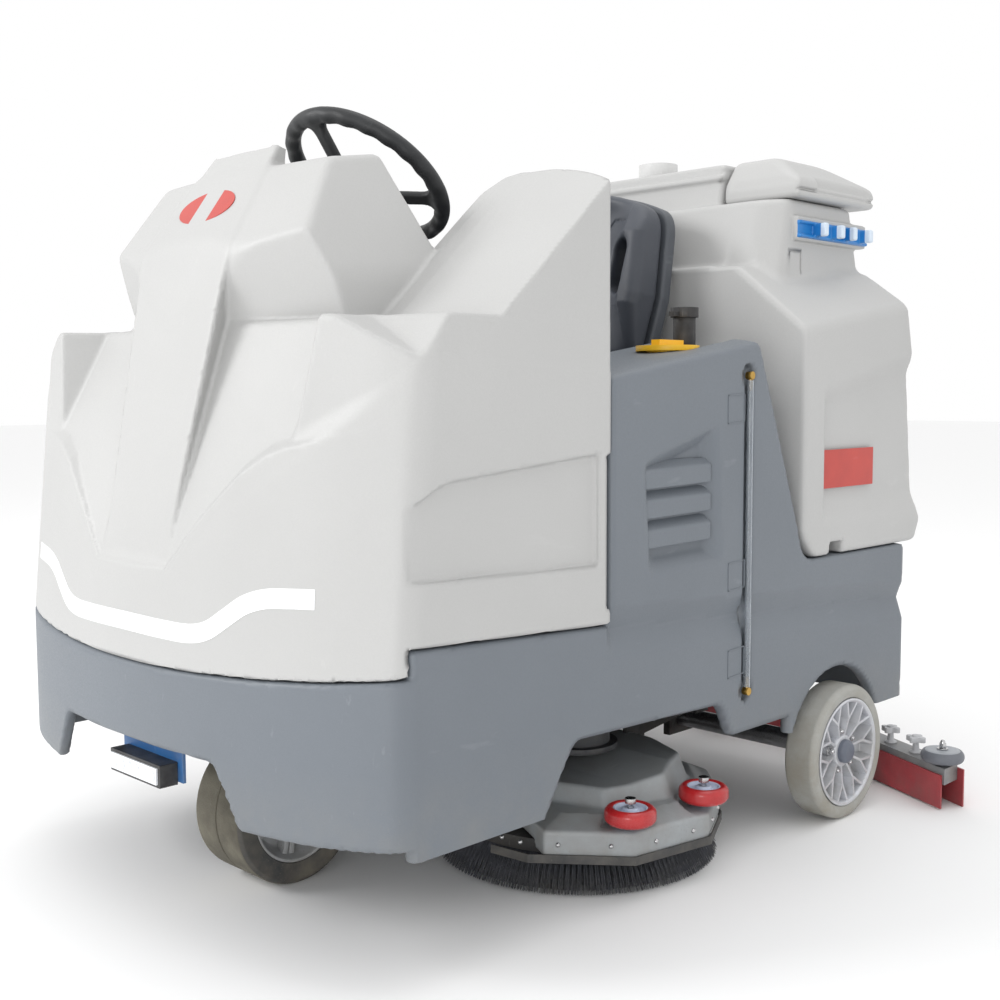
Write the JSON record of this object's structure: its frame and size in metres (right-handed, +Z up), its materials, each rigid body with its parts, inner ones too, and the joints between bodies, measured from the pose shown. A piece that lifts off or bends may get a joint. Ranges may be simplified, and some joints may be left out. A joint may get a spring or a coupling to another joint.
{
  "type": "ride-on floor scrubber",
  "caption": "Ride-on floor scrubber-dryer: sit-in body with steering wheel and seat, steered front wheel, twin-disc brush deck, wide curved squeegee and rear recovery tank.",
  "frame": {"origin": "centre of the footprint box on the floor", "axes": "-Y is the front, +X the driver's left, +Z up"},
  "size_m": [1.384, 1.67, 1.32],
  "materials": {
    "battery_case": "moulded",
    "black_plastic": "fine grain",
    "blade_red": "linatex",
    "blue_grey_shell": "fine rotomoulded texture",
    "brass": "machined",
    "bristle_black": "nylon filament",
    "brush_poly": "moulded",
    "button_red": "moulded",
    "cap_yellow": "moulded",
    "chrome": "zinc plated, bright",
    "clip_blue": "moulded",
    "dark_paint": "satin paint",
    "deck_grey": "satin paint",
    "frame_black": "powder coat",
    "knob_grey": "moulded",
    "lens_clear": "clear lens",
    "light_blue_bracket": "gloss paint",
    "light_grey_shell": "fine rotomoulded texture",
    "mat_rubber": "ribbed",
    "red_film": "gloss label",
    "rim_cast": "cast",
    "rim_silver": "silver painted casting",
    "roller_grey": "moulded",
    "roller_red": "moulded polyurethane",
    "seat_skin": "integral-skin foam, grained",
    "squeegee_grey": "satin paint",
    "steel": "machined",
    "tube_clear": "clear hose",
    "tyre_front": "polyurethane, worn",
    "tyre_rear": "polyurethane, worn",
    "wheel_skin": "soft-touch grain",
    "white_film": "retroreflective film"
  },
  "bodies": {
    "chassis": {"chassis_frame": "frame_black", "base_tank": "blue_grey_shell", "front_cowl": "light_grey_shell", "cowl_strip": "white_film", "body_labels": "red_film", "recovery_tank": "light_grey_shell", "breather_cap": "light_grey_shell", "suction_motor": "steel", "batteries": "battery_case", "handle_clips": "clip_blue", "level_tube": "tube_clear", "level_elbows": "brass", "filler_cup": "black_plastic", "rear_axle": "steel", "steering_column": "dark_paint", "steering_gearbox": "dark_paint", "dash_panel": "black_plastic", "floor_mat": "mat_rubber", "work_light_housing": "black_plastic", "work_light_lens": "lens_clear", "work_light_bracket": "light_blue_bracket"},
    "steering_wheel": {"steering_wheel": "wheel_skin", "steering_shaft": "steel"},
    "fork": {"steering_fork": "dark_paint"},
    "front_wheel": {"front_tyre": "tyre_front", "front_rim": "rim_cast"},
    "rear_wheel_left": {"rear_tyre_left": "tyre_rear", "rear_rim_left": "rim_silver"},
    "rear_wheel_right": {"rear_tyre_right": "tyre_rear", "rear_rim_right": "rim_silver"},
    "seat": {"seat_hood": "blue_grey_shell", "seat_shell": "black_plastic", "seat_cushion": "seat_skin", "seat_backrest": "seat_skin"},
    "recovery_lid": {"recovery_lid": "light_grey_shell"},
    "fill_cap": {"fill_cap": "cap_yellow"},
    "cup_cap": {"cup_cap": "black_plastic"},
    "accelerator_pedal": {"accelerator_pedal": "mat_rubber"},
    "emergency_button": {"emergency_button": "button_red"},
    "ignition_key": {"ignition_key": "chrome"},
    "lift_arms_lower": {"deck_arms_lower": "frame_black"},
    "lift_arms_upper": {"deck_arms_upper": "frame_black"},
    "brush_deck": {"deck_frame": "frame_black", "deck_covers": "deck_grey", "deck_screws": "chrome", "brush_motors": "dark_paint"},
    "brush_left": {"brush_block_left": "brush_poly", "bristles_left": "bristle_black"},
    "brush_right": {"brush_block_right": "brush_poly", "bristles_right": "bristle_black"},
    "wall_roller_front_left": {"wall_roller_front_left": "roller_red"},
    "wall_roller_front_right": {"wall_roller_front_right": "roller_red"},
    "wall_roller_rear_left": {"wall_roller_rear_left": "roller_red"},
    "wall_roller_rear_right": {"wall_roller_rear_right": "roller_red"},
    "squeegee_arm": {"squeegee_arm": "frame_black"},
    "squeegee": {"squeegee_body": "squeegee_grey", "squeegee_blades": "blade_red", "squeegee_knobs": "knob_grey"},
    "squeegee_roller_left": {"squeegee_roller_left": "roller_grey"},
    "squeegee_roller_right": {"squeegee_roller_right": "roller_grey"}
  },
  "joints": [
    {"name": "steering_wheel_turn", "type": "hinge", "parent": "chassis", "child": "steering_wheel", "pos_m": [0, -0.333, 1.212], "axis": [0, 0.606, 0.7955], "range_deg": [-270, 270]},
    {"name": "fork_yaw", "type": "hinge", "parent": "chassis", "child": "fork", "pos_m": [0, -0.55, 0.3], "axis": [0, 0, 1], "range_deg": [-90, 90]},
    {"name": "front_wheel_spin", "type": "hinge", "parent": "fork", "child": "front_wheel", "pos_m": [0, -0.55, 0.125], "axis": [1, 0, 0], "continuous": true},
    {"name": "rear_wheel_left_spin", "type": "hinge", "parent": "chassis", "child": "rear_wheel_left", "pos_m": [0.525, 0.395, 0.131], "axis": [1, 0, 0], "continuous": true},
    {"name": "rear_wheel_right_spin", "type": "hinge", "parent": "chassis", "child": "rear_wheel_right", "pos_m": [-0.525, 0.395, 0.131], "axis": [1, 0, 0], "continuous": true},
    {"name": "deck_arm_lower_lift", "type": "hinge", "parent": "chassis", "child": "lift_arms_lower", "pos_m": [0, 0.3, 0.197], "axis": [-1, 0, 0], "range_deg": [0, 17]},
    {"name": "deck_level", "type": "hinge", "parent": "lift_arms_lower", "child": "brush_deck", "pos_m": [0, 0.09554, 0.17189], "axis": [-1, 0, 0], "range_deg": [-17, 0]},
    {"name": "deck_arm_upper_lift", "type": "hinge", "parent": "chassis", "child": "lift_arms_upper", "pos_m": [0, 0.3, 0.237], "axis": [-1, 0, 0], "range_deg": [0, 17]},
    {"name": "brush_left_spin", "type": "hinge", "parent": "brush_deck", "child": "brush_left", "pos_m": [0.276, -0.085, 0.07], "axis": [0, 0, 1], "continuous": true},
    {"name": "wall_roller_front_left_spin", "type": "hinge", "parent": "brush_deck", "child": "wall_roller_front_left", "pos_m": [0.51, -0.215, 0.15], "axis": [0, 0, 1], "continuous": true},
    {"name": "wall_roller_rear_left_spin", "type": "hinge", "parent": "brush_deck", "child": "wall_roller_rear_left", "pos_m": [0.527, -0.037, 0.15], "axis": [0, 0, 1], "continuous": true},
    {"name": "brush_right_spin", "type": "hinge", "parent": "brush_deck", "child": "brush_right", "pos_m": [-0.276, -0.085, 0.07], "axis": [0, 0, 1], "continuous": true},
    {"name": "wall_roller_front_right_spin", "type": "hinge", "parent": "brush_deck", "child": "wall_roller_front_right", "pos_m": [-0.51, -0.215, 0.15], "axis": [0, 0, 1], "continuous": true},
    {"name": "wall_roller_rear_right_spin", "type": "hinge", "parent": "brush_deck", "child": "wall_roller_rear_right", "pos_m": [-0.527, -0.037, 0.15], "axis": [0, 0, 1], "continuous": true},
    {"name": "squeegee_lift", "type": "hinge", "parent": "chassis", "child": "squeegee_arm", "pos_m": [0, 0.47, 0.262], "axis": [1, 0, 0], "range_deg": [0, 12]},
    {"name": "squeegee_swing", "type": "hinge", "parent": "squeegee_arm", "child": "squeegee", "pos_m": [0, 0.79, 0.11], "axis": [0, 0, 1], "range_deg": [-5, 5]},
    {"name": "squeegee_roller_left_spin", "type": "hinge", "parent": "squeegee", "child": "squeegee_roller_left", "pos_m": [0.65, 0.60149, 0.1], "axis": [0, 0, 1], "continuous": true},
    {"name": "squeegee_roller_right_spin", "type": "hinge", "parent": "squeegee", "child": "squeegee_roller_right", "pos_m": [-0.65, 0.60149, 0.1], "axis": [0, 0, 1], "continuous": true},
    {"name": "seat_tilt", "type": "hinge", "parent": "chassis", "child": "seat", "pos_m": [0, -0.205, 0.668], "axis": [1, 0, 0], "range_deg": [0, 30]},
    {"name": "recovery_lid_open", "type": "hinge", "parent": "chassis", "child": "recovery_lid", "pos_m": [0.349, 0.672, 1.205], "axis": [-1, 0, 0], "range_deg": [0, 80]},
    {"name": "fill_cap_turn", "type": "hinge", "parent": "chassis", "child": "fill_cap", "pos_m": [0.428, -0.018, 0.905], "axis": [0, 0, 1], "range_deg": [0, 90]},
    {"name": "cup_cap_open", "type": "hinge", "parent": "chassis", "child": "cup_cap", "pos_m": [0.404, 0.026, 0.968], "axis": [1, 0, 0], "range_deg": [0, 110]},
    {"name": "accelerator_press", "type": "hinge", "parent": "chassis", "child": "accelerator_pedal", "pos_m": [-0.12, -0.35, 0.446], "axis": [1, 0, 0], "range_deg": [0, 12], "stiffness_Nm_per_rad": 6, "springref_deg": -8.59},
    {"name": "emergency_button_press", "type": "slide", "parent": "chassis", "child": "emergency_button", "axis": [0, -0.9087, -0.4174], "range_m": [0, 0.006], "stiffness_N_per_m": 400, "springref_m": -0.002},
    {"name": "ignition_key_turn", "type": "hinge", "parent": "chassis", "child": "ignition_key", "pos_m": [-0.108, -0.44668, 1.09704], "axis": [0, 0.9087, 0.4174], "range_deg": [0, 90]}
  ],
  "couplings": [
    {"joint": "steering_wheel_turn", "follows": "fork_yaw", "ratio": 3},
    {"joint": "deck_arm_lower_lift", "follows": "deck_level", "ratio": -1},
    {"joint": "deck_arm_upper_lift", "follows": "deck_level", "ratio": -1}
  ]
}
